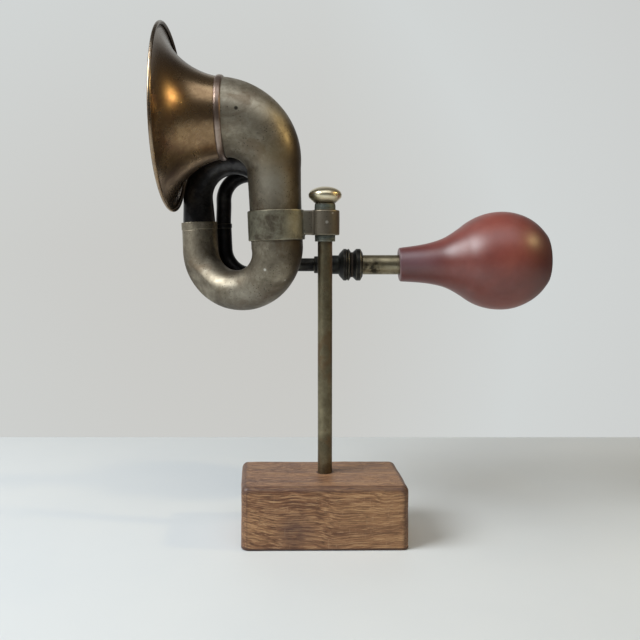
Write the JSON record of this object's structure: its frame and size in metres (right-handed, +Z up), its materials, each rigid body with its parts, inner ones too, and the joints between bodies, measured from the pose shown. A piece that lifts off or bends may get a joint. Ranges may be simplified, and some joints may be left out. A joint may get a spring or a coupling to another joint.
{
  "type": "bulb horn on stand",
  "caption": "Vintage brass bulb horn with a coiled tube, flared bell and rubber squeeze bulb, clamped to a rod in a wooden block.",
  "frame": {"origin": "underside of the wooden block, on the axis of the upright rod", "axes": "+Z up along the rod, -X towards the bell, +X towards the rubber bulb, +Y the way the coil winds back"},
  "size_m": [0.3268, 0.1764, 0.4148],
  "materials": {
    "wood": "oiled, open-grained hardwood",
    "rod_brass": "drawn rod, olive patina",
    "collar_brass": "grey-green verdigris",
    "knob_brass": "polished by handling",
    "clamp_brass": "cast brass, olive-brown patina",
    "horn_brass": "sheet brass, grey-olive patina",
    "bell_brass": "spun brass, reddish bronze patina",
    "dark_brass": "blackened brass",
    "bulb_tube_brass": "olive brass, dark blotches",
    "reed_brass": "bright spring brass",
    "iron_wire": "plain iron wire",
    "gasket_leather": "greased leather washer",
    "bulb_rubber": "satin brick-red rubber",
    "plug_rubber": "dark vulcanised rubber"
  },
  "bodies": {
    "stand": {"wood_base": "wood", "stand_rod": "rod_brass", "lower_collar": "collar_brass"},
    "horn": {"clamp_bracket": "clamp_brass", "clamp_set_screw": "clamp_brass", "tube_bell_elbow": "horn_brass", "tube_lower_bend_front": "horn_brass", "tube_upper_bend_middle": "dark_brass", "tube_lower_bend_back": "dark_brass", "tube_upper_bend_back": "dark_brass", "tube_inlet_elbow": "dark_brass", "ferrule_front": "horn_brass", "ferrule_middle": "dark_brass", "ferrule_back": "dark_brass", "ferrule_inlet": "dark_brass", "bell": "bell_brass", "bell_rim_wire": "iron_wire", "bell_ring": "bell_brass", "inlet_stem": "dark_brass", "reed_socket": "dark_brass"},
    "lock_collar": {"upper_collar": "collar_brass"},
    "lock_knob": {"finial_knob": "knob_brass"},
    "gasket": {"union_gasket": "gasket_leather"},
    "fitting": {"union_nut": "dark_brass", "reed_shallot": "reed_brass", "reed_wedge": "reed_brass", "bulb_tube": "bulb_tube_brass"},
    "tongue": {"reed_tongue": "reed_brass"},
    "bulb": {"rubber_bulb": "bulb_rubber"},
    "bulb_end": {"bulb_end_plug": "plug_rubber"}
  },
  "joints": [
    {"name": "horn_swivel", "type": "hinge", "parent": "stand", "child": "horn", "pos_m": [0, 0, 0.2586], "axis": [0, 0, 1], "continuous": true},
    {"name": "collar_lift", "type": "slide", "parent": "stand", "child": "lock_collar", "axis": [0, 0, 1], "range_m": [0, 0.00688]},
    {"name": "knob_turn", "type": "hinge", "parent": "lock_collar", "child": "lock_knob", "pos_m": [0, 0, 0.281], "axis": [0, 0, 1], "range_deg": [0, 1980]},
    {"name": "union_travel", "type": "slide", "parent": "horn", "child": "gasket", "axis": [1, 0, 0], "range_m": [0, 0.01125]},
    {"name": "bulb_unscrew", "type": "hinge", "parent": "gasket", "child": "fitting", "pos_m": [0, 0.059, 0.2234], "axis": [1, 0, 0], "range_deg": [0, 2700]},
    {"name": "tongue_beat", "type": "hinge", "parent": "fitting", "child": "tongue", "pos_m": [0.013, 0.059, 0.22468], "axis": [0, 1, 0], "range_deg": [-2.2, 1.5], "stiffness_Nm_per_rad": 0.004},
    {"name": "bulb_pull_off", "type": "slide", "parent": "fitting", "child": "bulb", "axis": [1, 0, 0], "range_m": [0, 0.022]},
    {"name": "bulb_press", "type": "slide", "parent": "bulb", "child": "bulb_end", "axis": [-0.9993, 0, -0.0384], "range_m": [0, 0.022], "stiffness_N_per_m": 400, "deforming": ["rubber_bulb"]}
  ],
  "couplings": [
    {"joint": "knob_turn", "follows": "collar_lift", "rad_per_m": 5026.5},
    {"joint": "union_travel", "follows": "bulb_unscrew", "m_per_rad": 0.00023873}
  ]
}
